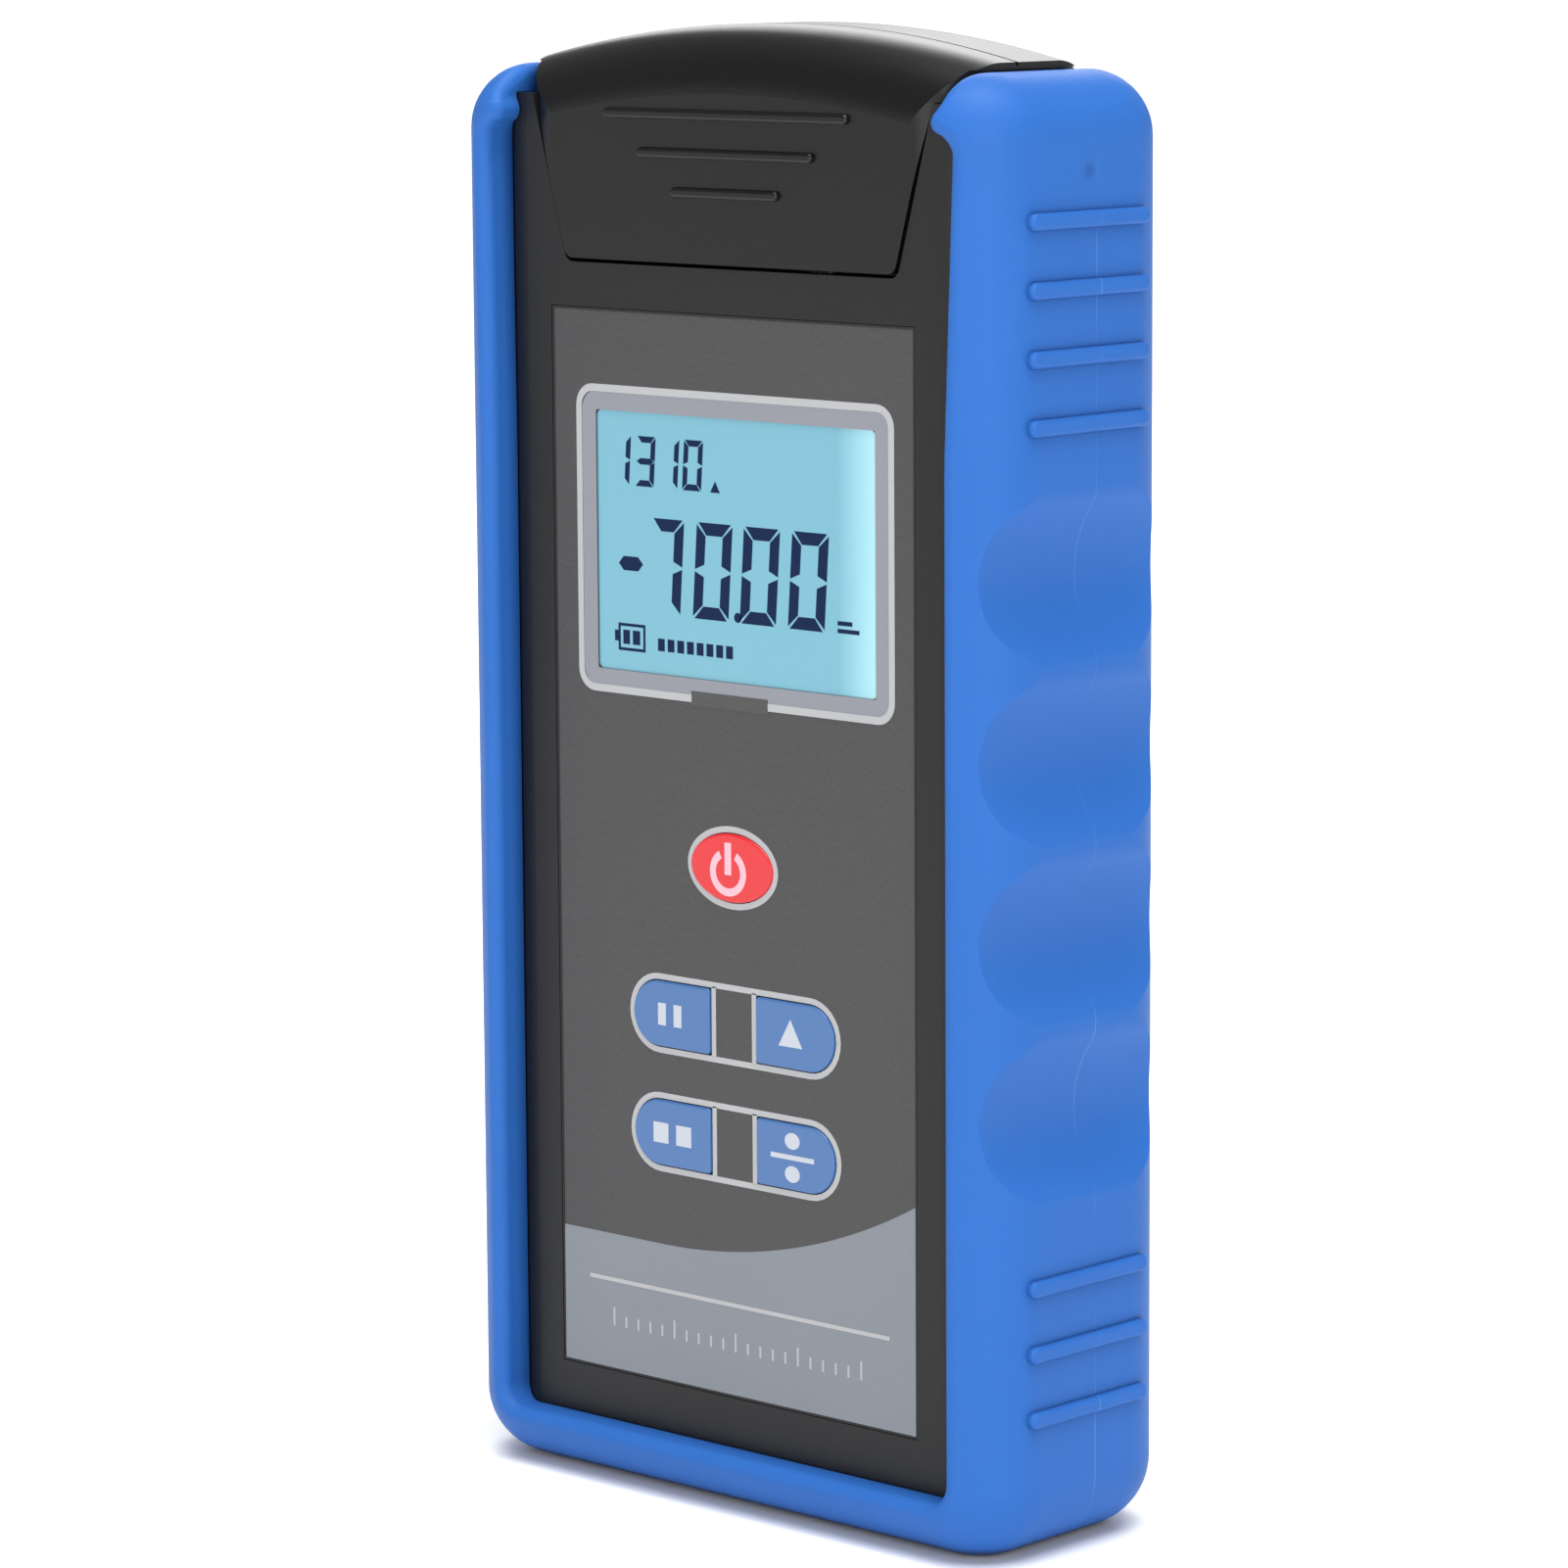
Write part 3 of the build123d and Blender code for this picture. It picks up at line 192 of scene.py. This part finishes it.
def moulded(name, colour, roughness, grain=3000.0, depth=0.02, drift=0.12, **sockets):
    """Plastic or rubber with a fine grain, whose depth is in millimetres, a slow drift of
    colour and uneven gloss."""
    finish = bpy.data.materials.new(name)
    finish.use_nodes = True
    tree = finish.node_tree
    shader = tree.nodes["Principled BSDF"]
    for socket, value in sockets.items():
        shader.inputs[socket.replace("_", " ")].default_value = value
    place = tree.nodes.new("ShaderNodeTexCoord")
    slow = tree.nodes.new("ShaderNodeTexNoise")
    slow.inputs["Scale"].default_value = DRIFT_SCALE
    slow.inputs["Detail"].default_value = DRIFT_DETAIL
    wire(tree, place, "Object", slow, "Vector")
    darker = tuple(c * (1 - drift) for c in colour)
    lighter = tuple(min(1.0, c * (1 + drift)) for c in colour)
    tint = mixed(tree, slow.outputs["Fac"], darker, lighter)
    tree.links.new(tint, shader.inputs["Base Color"])
    fine = tree.nodes.new("ShaderNodeTexNoise")
    fine.inputs["Scale"].default_value = grain
    fine.inputs["Detail"].default_value = GRAIN_DETAIL
    wire(tree, place, "Object", fine, "Vector")
    gloss = ranged(tree, fine.outputs["Fac"],
                   To_Min=roughness - GLOSS_SPREAD, To_Max=roughness + GLOSS_SPREAD)
    wire(tree, gloss, "Result", shader, "Roughness")
    bump = tree.nodes.new("ShaderNodeBump")
    bump.inputs["Distance"].default_value = depth * MM
    bump.inputs["Strength"].default_value = GRAIN_STRENGTH
    wire(tree, fine, "Fac", bump, "Height")
    wire(tree, bump, "Normal", shader, "Normal")
    return finish


def dress(finish, *node_names):
    """Put one finish on CAD nodes."""
    for node_name in node_names:
        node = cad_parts[node_name]
        for slot in node.material_slots:
            slot.material = finish


floor_finish = moulded("studio_paper", (0.93, 0.93, 0.93), 0.85, grain=900.0, drift=0.01)
floor_mesh.materials.append(floor_finish)
print("floor dressed in", floor_finish.name)

# %% [markdown]
# The holster is coloured silicone: a clean blue with a satin skin. A little light passes
# through such rubber, which subsurface scattering stands for: it softens the thin lips.
# Two things mark the holster as a moulding. A fine seam runs down each side where the two
# halves of the mould met, fainter in some places than in others, and each side has one
# small round dimple near the top. Both are drawn in the finish and go through a bump too,
# and the dimple's darker colour is painted shade in its pit.
# The seam is where the distance to a plane is small. The dimple is where the distance to
# one point is small, with the direction across the meter left out, so it comes on both
# sides. Where two surfaces meet in a crease, at the feet of the grip bars, the colour is
# darkened with painted shade: an Ambient Occlusion node tells how closed in each point is.

# %% Holster finish
SEAM_Y = 1.5 * MM
SEAM_HALF = 0.09 * MM
SEAM_COLOUR = (0.13, 0.28, 0.60)
SEAM_FADES = (0.42, 0.62)
SEAM_FACTOR = 0.5
DIMPLE = Vector((0, 0.1, 161.1)) * MM
DIMPLE_RADIUS = 1.5 * MM
# the dimple's darker colour is painted shade in its pit
DIMPLE_SHADE_COLOUR = (0.008, 0.04, 0.17)
DIMPLE_SHADE_FACTOR = 0.45
CREASE_REACH = 1.8 * MM
CREASE_SAMPLES = 8
# colour of the painted shade in the creases
CREASE_SHADE_COLOUR = (0.006, 0.035, 0.15)
RELIEF_DEPTH = 0.12 * MM

silicone = moulded("holster_silicone", (0.025, 0.126, 0.44), 0.5, grain=2600.0, drift=0.05,
                   Specular_IOR_Level=0.15, Subsurface_Weight=0.12,
                   Subsurface_Scale=1.0 * MM)
tree = silicone.node_tree
shader = tree.nodes["Principled BSDF"]
split = tree.nodes.new("ShaderNodeSeparateXYZ")
wire(tree, tree.nodes["Texture Coordinate"], "Object", split, "Vector")

off_seam = math_node(tree, "ABSOLUTE", math_node(tree, "SUBTRACT", split.outputs["Y"], SEAM_Y))
seam = math_node(tree, "LESS_THAN", off_seam, SEAM_HALF)
fading = ranged(tree, tree.nodes["Noise Texture"].outputs["Fac"],
                From_Min=SEAM_FADES[0], From_Max=SEAM_FADES[1], To_Max=SEAM_FACTOR)
faint_seam = math_node(tree, "MULTIPLY", seam, fading.outputs["Result"])

flat = tree.nodes.new("ShaderNodeCombineXYZ")
wire(tree, split, "Y", flat, "Y")
wire(tree, split, "Z", flat, "Z")
away = tree.nodes.new("ShaderNodeVectorMath")
away.operation = "DISTANCE"
wire(tree, flat, "Vector", away, 0)
away.inputs[1].default_value = DIMPLE
pit = ranged(tree, away.outputs["Value"], From_Min=DIMPLE_RADIUS, From_Max=0.0)
pit.interpolation_type = "SMOOTHSTEP"
# how strongly the painted shade of the pit darkens the colour
pit_shade_factor = math_node(tree, "MULTIPLY", pit.outputs["Result"], DIMPLE_SHADE_FACTOR)

# painted shade: the Ambient Occlusion node darkens the colour where a crease closes in
crease = tree.nodes.new("ShaderNodeAmbientOcclusion")
crease.samples = CREASE_SAMPLES
crease.inputs["Distance"].default_value = CREASE_REACH

with_seam = mixed(tree, faint_seam, tree.nodes["Mix"].outputs["Result"], SEAM_COLOUR)
# painted shade in the dimple's pit
with_pit_shade = mixed(tree, pit_shade_factor, with_seam, DIMPLE_SHADE_COLOUR)
# painted shade in the creases, darkest where the Ambient Occlusion is lowest
with_crease_shade = mixed(tree, crease.outputs["AO"], CREASE_SHADE_COLOUR, with_pit_shade)
tree.links.new(with_crease_shade, shader.inputs["Base Color"])

relief = tree.nodes.new("ShaderNodeBump")
relief.inputs["Distance"].default_value = RELIEF_DEPTH
wire(tree, tree.nodes["Bump"], "Normal", relief, "Normal")
raised = math_node(tree, "SUBTRACT", seam, pit.outputs["Result"])
tree.links.new(raised, relief.inputs["Height"])
wire(tree, relief, "Normal", shader, "Normal")
dress(silicone, "holster")
print("holster dressed")

# %% [markdown]
# The case and the dust cover are black plastic, but the cover has a finer, more satin
# surface that picks up the overhead light. The parts inside show, if at all, only when
# the cover or the battery door stands open, so their finishes are plain: metals, green
# boards, black chips, a white ceramic sleeve and dark wrapped cells.

# %% Black plastics, metals and the parts inside
case_plastic = moulded("case_plastic", (0.0075, 0.0075, 0.0079), 0.46, grain=4200.0,
                       depth=0.03, Specular_IOR_Level=0.34)
cover_plastic = moulded("cover_plastic", (0.003, 0.003, 0.0031), 0.34, grain=4200.0,
                        Specular_IOR_Level=0.38)
dress(case_plastic, "front_case", "rear_case", "battery_door")
dress(cover_plastic, "dust_cover")

nickel = moulded("nickel_plate", (0.55, 0.53, 0.49), 0.35, depth=0.01, Metallic=1.0)
steel = moulded("zinc_steel", (0.48, 0.48, 0.50), 0.35, depth=0.01, Metallic=1.0)
ceramic = moulded("white_ceramic", (0.85, 0.84, 0.80), 0.15, depth=0.005)
board_green = moulded("board_green", (0.01, 0.12, 0.04), 0.35)
part_black = moulded("part_black", (0.02, 0.02, 0.022), 0.45)
backlight_white = moulded("backlight_white", (0.75, 0.78, 0.78), 0.5)
pink_rubber = moulded("strip_rubber", (0.45, 0.16, 0.16), 0.7)
cell_wrap = moulded("cell_wrap", (0.05, 0.05, 0.06), 0.3)
switch_names = [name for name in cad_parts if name.endswith("_switch")]
dress(nickel, "fibre_adapter", "detector_can", "cell_contacts")
dress(steel, "cover_hinge_pin", "adapter_screws", "case_screws", "board_screws")
dress(ceramic, "ferrule_sleeve")
dress(board_green, "main_board", "detector_board")
dress(part_black, "processor_chip", "amplifier_chip", "sounder", *switch_names)
dress(backlight_white, "display_backlight")
dress(pink_rubber, "display_connector")
dress(cell_wrap, "left_cell", "middle_cell", "right_cell")
print("case, cover and inner parts dressed")

# %% [markdown]
# The front label is a dark printed film with a pebbled skin. Its print is thin ink, so
# each printed shape is its own flat piece, a few hundredths of a millimetre proud of the
# film. One helper lifts a flat outline off the film: it stands the face up in the XZ
# plane, pushes it to its depth and extrudes it towards the reader. The back of the ink is
# sunk a hundredth of a millimetre into what it stands on, so no gap can show, and print
# that lies over other print stands one layer of ink further out. The other helpers draw
# the outlines, all in millimetres across and up, as they are seen from the front.

# %% Label finish and the print helpers
LABEL_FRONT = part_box("face_label")[0][1]
INK = 0.03 * MM
SUNK = 0.01 * MM

label_film = moulded("label_film", (0.0441, 0.0441, 0.0456), 0.5, grain=1500.0, depth=0.12,
                     drift=0.05)
dress(label_film, "face_label")


def printed(bm, name, finish, front, body="meter"):
    """Extrude flat faces drawn in XY into thin ink that stands on the plane y = front."""
    upright = Matrix.Rotation(radians(90), 3, "X")
    bmesh.ops.rotate(bm, verts=bm.verts, cent=(0, 0, 0), matrix=upright)
    bmesh.ops.translate(bm, verts=bm.verts, vec=(0, front + SUNK, 0))
    extruded = bmesh.ops.extrude_face_region(bm, geom=bm.faces[:])["geom"]
    lifted = [v for v in extruded if isinstance(v, bmesh.types.BMVert)]
    bmesh.ops.translate(bm, verts=lifted, vec=(0, -INK - SUNK, 0))
    bmesh.ops.recalc_face_normals(bm, faces=bm.faces)
    mesh = bpy.data.meshes.new(name)
    bm.to_mesh(mesh)
    bm.free()
    mesh.materials.append(finish)
    piece = bpy.data.objects.new(name, mesh)
    bpy.context.scene.collection.objects.link(piece)
    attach(piece, body)
    print(name, "has", len(mesh.polygons), "faces")


def flat_box(bm, x0, x1, z0, z1, corner=0.0):
    """One flat face from x0 to x1 and from z0 to z1, with round corners if asked."""
    made = bmesh.ops.create_grid(bm, x_segments=1, y_segments=1, size=0.5)["verts"]
    bmesh.ops.scale(bm, verts=made, vec=((x1 - x0) * MM, (z1 - z0) * MM, 1))
    bmesh.ops.translate(bm, verts=made, vec=((x0 + x1) / 2 * MM, (z0 + z1) / 2 * MM, 0))
    if corner:
        bmesh.ops.bevel(bm, geom=made, offset=corner * MM, offset_type="OFFSET", segments=8,
                        profile=0.5, affect="VERTICES", material=-1)


def flat_oval(bm, x, z, half_width, half_height, segments=48):
    """One flat oval or regular polygon about the point x, z."""
    made = bmesh.ops.create_circle(bm, cap_ends=True, segments=segments, radius=1.0)["verts"]
    bmesh.ops.scale(bm, verts=made, vec=(half_width * MM, half_height * MM, 1))
    bmesh.ops.translate(bm, verts=made, vec=(x * MM, z * MM, 0))


def keep_rim(bm, width):
    """Leave only a rim of the given width along the edge of each face."""
    inner = bm.faces[:]
    bmesh.ops.inset_individual(bm, faces=inner, thickness=width * MM, use_even_offset=True)
    bmesh.ops.delete(bm, geom=inner, context="FACES")


line_ink = moulded("line_ink", (0.384, 0.388, 0.4), 0.5, depth=0.01, drift=0.02)
frame_ink = moulded("frame_ink", (0.22, 0.228, 0.26), 0.5, drift=0.03)
field_ink = moulded("field_ink", (0.1872, 0.2067, 0.234), 0.5, grain=1500.0, depth=0.1,
                    drift=0.04)
# a near-black finish for the painted shade along the gap where the label meets its pocket
gap_shade_ink = moulded("gap_shade_ink", (0.006, 0.006, 0.006), 0.6, drift=0.02)
dark_ink = moulded("dark_ink", (0.0532, 0.0532, 0.0547), 0.5, grain=1500.0, depth=0.1,
                   drift=0.04)
print("label's front is at", round(LABEL_FRONT / MM, 3), "mm")

# %% [markdown]
# The label's lower end is a lighter field with a curved top edge. A strip of small faces
# does it: the grid's top row of points is lifted onto the curve, which runs level on the
# left and then swings up along a large circle. A thin line and a row of ticks, each fifth
# one longer, are printed on the field. A fine dark band of painted shade runs round the
# whole label, where its rim meets the pocket it lies in.

# %% Light field, line, edge and ticks
LABEL_HALF = 29.2
LABEL_FOOT = 13.4
LABEL_TOP = 143.4
GAP_SHADE_WIDTH = 0.28
FIELD_STEPS = 60
CURVE_START = -12.0
CURVE_LEVEL = 30.5
CURVE_RADIUS = 84.5
FIELD_LINE = (-24.6, 24.8, 24.5, 25.0)
TICKS = 21
TICK_START = -20.5
TICK_RUN = 40.8
TICK_HALF = 0.15
TICK_FOOT = 19.0
TICK_TOP = 20.4
LONG_TICK_TOP = 21.3


def field_edge(x):
    """Height in millimetres of the light field's top edge."""
    run = max(x - CURVE_START, 0.0)
    return CURVE_LEVEL + CURVE_RADIUS - sqrt(CURVE_RADIUS ** 2 - run ** 2)


bm = bmesh.new()
bmesh.ops.create_grid(bm, x_segments=FIELD_STEPS, y_segments=1, size=1.0)
for v in bm.verts:
    x = v.co.x * LABEL_HALF
    v.co = Vector((x, field_edge(x) if v.co.y > 0 else LABEL_FOOT, 0)) * MM
printed(bm, "light_field", field_ink, LABEL_FRONT)

bm = bmesh.new()
flat_box(bm, *FIELD_LINE)
printed(bm, "field_line", line_ink, LABEL_FRONT - INK)

# the dark band round the label's rim is painted shade of the gap, not print
bm = bmesh.new()
flat_box(bm, -LABEL_HALF, LABEL_HALF, LABEL_FOOT, LABEL_TOP)
keep_rim(bm, GAP_SHADE_WIDTH)
printed(bm, "label_gap_shade", gap_shade_ink, LABEL_FRONT - INK)

bm = bmesh.new()
for i in range(TICKS):
    x = TICK_START + TICK_RUN * i / (TICKS - 1)
    top = LONG_TICK_TOP if i % 5 == 0 else TICK_TOP
    flat_box(bm, x - TICK_HALF, x + TICK_HALF, TICK_FOOT, top)
printed(bm, "field_ticks", line_ink, LABEL_FRONT - INK)

# %% [markdown]
# The display's surround is a grey band inside a white outline with a dark tab in its lower
# edge. The band has a hole in it, which is what keep_rim leaves, because insetting a face
# splits it into a rim and a middle that is then deleted.

# %% Display surround
OUTLINE_BOX = (-25.3, 26.0, 97.25, 134.35)
OUTLINE_CORNER = 2.7
OUTLINE_WIDTH = 0.9
BAND_BOX = (-24.35, 25.35, 97.8, 133.6)
BAND_CORNER = 2.45
BAND_WIDTH = 2.3
TAB_BOX = (-6.5, 5.9, 96.9, 98.6)

bm = bmesh.new()
flat_box(bm, *OUTLINE_BOX, corner=OUTLINE_CORNER)
keep_rim(bm, OUTLINE_WIDTH)
printed(bm, "display_outline", line_ink, LABEL_FRONT - INK)

bm = bmesh.new()
flat_box(bm, *BAND_BOX, corner=BAND_CORNER)
keep_rim(bm, BAND_WIDTH)
printed(bm, "display_band", frame_ink, LABEL_FRONT)

bm = bmesh.new()
flat_box(bm, *TAB_BOX)
printed(bm, "display_tab", dark_ink, LABEL_FRONT - 1.5 * INK)

# %% [markdown]
# The keys stand in outlines too: an oval round the power key, and one capsule round each
# pair of side keys, with two short bars that close off the keys' straight ends.

# %% Key outlines
POWER_CENTRE = (0, 77.95)
POWER_HALVES = (7.35, 5.0)
POWER_RIM = 0.75
ROW_HEIGHTS = {"upper": 58.95, "lower": 44.35}
CAPSULE_HALF = 17.25
CAPSULE_RISE = 4.87
CAPSULE_CORNER = 4.86
CAPSULE_RIM = 0.72
BAR_X = 3.3
BAR_HALF = 0.35
BAR_RISE = 4.3

bm = bmesh.new()
flat_oval(bm, *POWER_CENTRE, *POWER_HALVES)
keep_rim(bm, POWER_RIM)
printed(bm, "power_outline", line_ink, LABEL_FRONT)

for row, z in ROW_HEIGHTS.items():
    bm = bmesh.new()
    flat_box(bm, -CAPSULE_HALF, CAPSULE_HALF, z - CAPSULE_RISE, z + CAPSULE_RISE,
             corner=CAPSULE_CORNER)
    keep_rim(bm, CAPSULE_RIM)
    printed(bm, row + "_outline", line_ink, LABEL_FRONT)
    bm = bmesh.new()
    for x in (-BAR_X, BAR_X):
        flat_box(bm, x - BAR_HALF, x + BAR_HALF, z - BAR_RISE, z + BAR_RISE)
    printed(bm, row + "_bars", line_ink, LABEL_FRONT)

# %% [markdown]
# The keys are blue and red silicone with a satin skin. The power key carries the usual
# broken ring with a stroke, and the four side keys plain white marks. Each mark rides on
# its own key's body, so it goes down with the key.

# %% Key finishes and marks
RING_CENTRE = (-0.45, 77.4)
RING_HALVES = (2.95, 2.85)
RING_WIDTH = 0.95
RING_GAP_HALF = 1.25
RING_GAP_FOOT = 78.0
POWER_STROKE = (-0.98, 0.08, 77.1, 81.0)
# boxes from x0 to x1 and from z0 to z1; ovals as centre, half sizes and number of corners
KEY_MARKS = {
    "upper_left": {"boxes": ((-12.25, -10.95, 57.6, 60.3), (-9.65, -8.35, 57.6, 60.3))},
    "upper_right": {"ovals": ((9.5, 58.7, 2.2, 2.2, 3),)},
    "lower_left": {"boxes": ((-13.2, -10.7, 43.1, 45.6), (-9.4, -6.9, 43.1, 45.6))},
    "lower_right": {"boxes": ((6.2, 13.2, 44.0, 44.6),),
                    "ovals": ((9.7, 46.3, 1.2, 1.0, 48), (9.7, 42.3, 1.2, 1.0, 48))},
}

key_blue = moulded("key_blue", (0.044, 0.132, 0.336), 0.38, drift=0.05, Coat_Weight=0.2)
key_red = moulded("key_red", (0.612, 0.0102, 0.0153), 0.35, drift=0.05, Coat_Weight=0.2)
mark_ink = moulded("mark_ink", (0.4592, 0.492, 0.5494), 0.45, depth=0.01, drift=0.02)
power_ink = moulded("power_ink", (0.7216, 0.41, 0.4756), 0.45, depth=0.01, drift=0.02)
dress(key_blue, *[key + "_key" for key in KEY_MARKS])
dress(key_red, "power_key")
KEY_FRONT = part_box("power_key")[0][1]

bm = bmesh.new()
flat_oval(bm, *RING_CENTRE, *RING_HALVES)
keep_rim(bm, RING_WIDTH)
gap = []
for face in bm.faces:
    centre = face.calc_center_median() / MM
    if abs(centre.x - RING_CENTRE[0]) < RING_GAP_HALF and centre.y > RING_GAP_FOOT:
        gap.append(face)
bmesh.ops.delete(bm, geom=gap, context="FACES")
flat_box(bm, *POWER_STROKE)
printed(bm, "power_mark", power_ink, KEY_FRONT, body="power_key")

for key, marks in KEY_MARKS.items():
    bm = bmesh.new()
    for box in marks.get("boxes", ()):
        flat_box(bm, *box)
    for oval in marks.get("ovals", ()):
        flat_oval(bm, *oval)
    printed(bm, key + "_mark", mark_ink, KEY_FRONT, body=key + "_key")

# %% [markdown]
# The display is lit from behind, so its finish glows a little and whitens towards the side
# where the lamp sits. The digits are seven-segment bars: each segment is a flat face whose
# ends are cut on the slant where it meets its neighbours, and a digit is the list of
# segments that are on. All digits lean a little to the right.

# %% Display and digits
GLASS_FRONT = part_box("display_window")[0][1]
LIT_COLOUR = (0.125, 0.32, 0.41)
LAMP_COLOUR = (0.31, 0.57, 0.62)
LAMP_FADES = (17.0 * MM, 23.5 * MM)
SEGMENTS = {"0": "abcdef", "1": "bc", "3": "abcdg", "7": "abc"}
LEAN = 0.07
SEGMENT_GAP = 0.09
# for each row its foot, height and stroke, then each digit with its left side and width
DIGIT_ROWS = {
    "small_digits": (122.45, 6.0, 0.75, (("1", -19.9, 3.1), ("3", -15.8, 3.1),
                                         ("1", -11.9, 3.1), ("0", -8.0, 3.1))),
    "large_digits": (107.3, 11.5, 1.5, (("7", -13.8, 5.3), ("0", -6.4, 5.8),
                                        ("0", 1.25, 5.8), ("0", 9.0, 5.8))),
}

display_lit = moulded("display_lit", LIT_COLOUR, 0.15, depth=0.0, drift=0.02,
                      Emission_Strength=0.22)
tree = display_lit.node_tree
shader = tree.nodes["Principled BSDF"]
split = tree.nodes.new("ShaderNodeSeparateXYZ")
wire(tree, tree.nodes["Texture Coordinate"], "Object", split, "Vector")
glow = ranged(tree, split.outputs["X"], From_Min=LAMP_FADES[0], From_Max=LAMP_FADES[1])
lamp = mixed(tree, glow.outputs["Result"], LIT_COLOUR, LAMP_COLOUR)
tree.links.new(lamp, shader.inputs["Base Color"])
tree.links.new(lamp, shader.inputs["Emission Color"])
dress(display_lit, "display_window", "display_glass")

digit_ink = moulded("digit_ink", (0.004, 0.014, 0.055), 0.5, depth=0.0, drift=0.02,
                    Specular_IOR_Level=0.1)


def seven_segment(bm, digit, x, z, width, height, stroke):
    """One digit, mitred where its bars meet, with its lower left corner at x, z."""
    gap = SEGMENT_GAP * stroke
    inner = stroke + gap
    half = height / 2
    over = half + stroke / 2
    under = half - stroke / 2
    outlines = {
        "a": ((2 * gap, height), (width - 2 * gap, height),
              (width - inner, height - stroke), (inner, height - stroke)),
        "d": ((2 * gap, 0), (inner, stroke), (width - inner, stroke), (width - 2 * gap, 0)),
        "f": ((0, half + gap), (0, height - 2 * gap), (stroke, height - inner), (stroke, over)),
        "e": ((0, 2 * gap), (0, half - gap), (stroke, under), (stroke, inner)),
        "g": ((2 * gap, half), (stroke, over), (width - stroke, over),
              (width - 2 * gap, half), (width - stroke, under), (stroke, under)),
    }
    outlines["b"] = [(width - u, v) for u, v in outlines["f"]]
    outlines["c"] = [(width - u, v) for u, v in outlines["e"]]
    for name in SEGMENTS[digit]:
        corners = [Vector((x + u + LEAN * v, z + v, 0)) * MM for u, v in outlines[name]]
        bm.faces.new([bm.verts.new(corner) for corner in corners])


for name, (foot, height, stroke, digits) in DIGIT_ROWS.items():
    bm = bmesh.new()
    for digit, x, width in digits:
        seven_segment(bm, digit, x, foot, width, height, stroke)
    printed(bm, name, digit_ink, GLASS_FRONT)

# %% [markdown]
# Small signs share the display with the digits: a minus sign with pointed ends, the
# point between the digits, a battery, and a few plain bars and a triangle.

# %% Minus sign, point, battery and small marks
MINUS_Z = 113.05
MINUS_RISE = 0.85
MINUS_ENDS = (-18.6, -14.6)
MINUS_SHOULDERS = (-17.8, -15.4)
POINT = (0.95, 107.9, 0.6, 0.6)
BATTERY_BOX = (-18.8, -14.3, 102.5, 105.8)
BATTERY_RIM = 0.35
BATTERY_CAP = (-19.4, -18.8, 103.6, 104.9)
BATTERY_CELLS = ((-18.0, -16.9, 103.3, 105.0), (-16.4, -15.2, 103.3, 105.0))
ROW_BARS = 8
ROW_START = -12.2
ROW_PITCH = 1.6
ROW_BAR_WIDTH = 1.1
ROW_FOOT = 102.9
ROW_TOP = 104.4
TRIANGLE = (-2.6, 122.9, 0.9, 0.9)
UNIT_BARS = ((16.9, 20.3, 107.4, 107.9), (16.9, 19.2, 108.3, 108.8))

bm = bmesh.new()
left_end, right_end = MINUS_ENDS
left_shoulder, right_shoulder = MINUS_SHOULDERS
minus = ((left_end, 0), (left_shoulder, MINUS_RISE), (right_shoulder, MINUS_RISE),
         (right_end, 0), (right_shoulder, -MINUS_RISE), (left_shoulder, -MINUS_RISE))
bm.faces.new([bm.verts.new(Vector((x, MINUS_Z + z, 0)) * MM) for x, z in minus])
flat_oval(bm, *POINT, segments=16)
printed(bm, "sign_and_point", digit_ink, GLASS_FRONT)

bm = bmesh.new()
flat_box(bm, *BATTERY_BOX)
keep_rim(bm, BATTERY_RIM)
for box in (BATTERY_CAP, *BATTERY_CELLS):
    flat_box(bm, *box)
printed(bm, "battery_sign", digit_ink, GLASS_FRONT)

bm = bmesh.new()
for i in range(ROW_BARS):
    x = ROW_START + ROW_PITCH * i
    flat_box(bm, x, x + ROW_BAR_WIDTH, ROW_FOOT, ROW_TOP)
flat_oval(bm, *TRIANGLE, segments=3)
for box in UNIT_BARS:
    flat_box(bm, *box)
printed(bm, "small_marks", digit_ink, GLASS_FRONT)
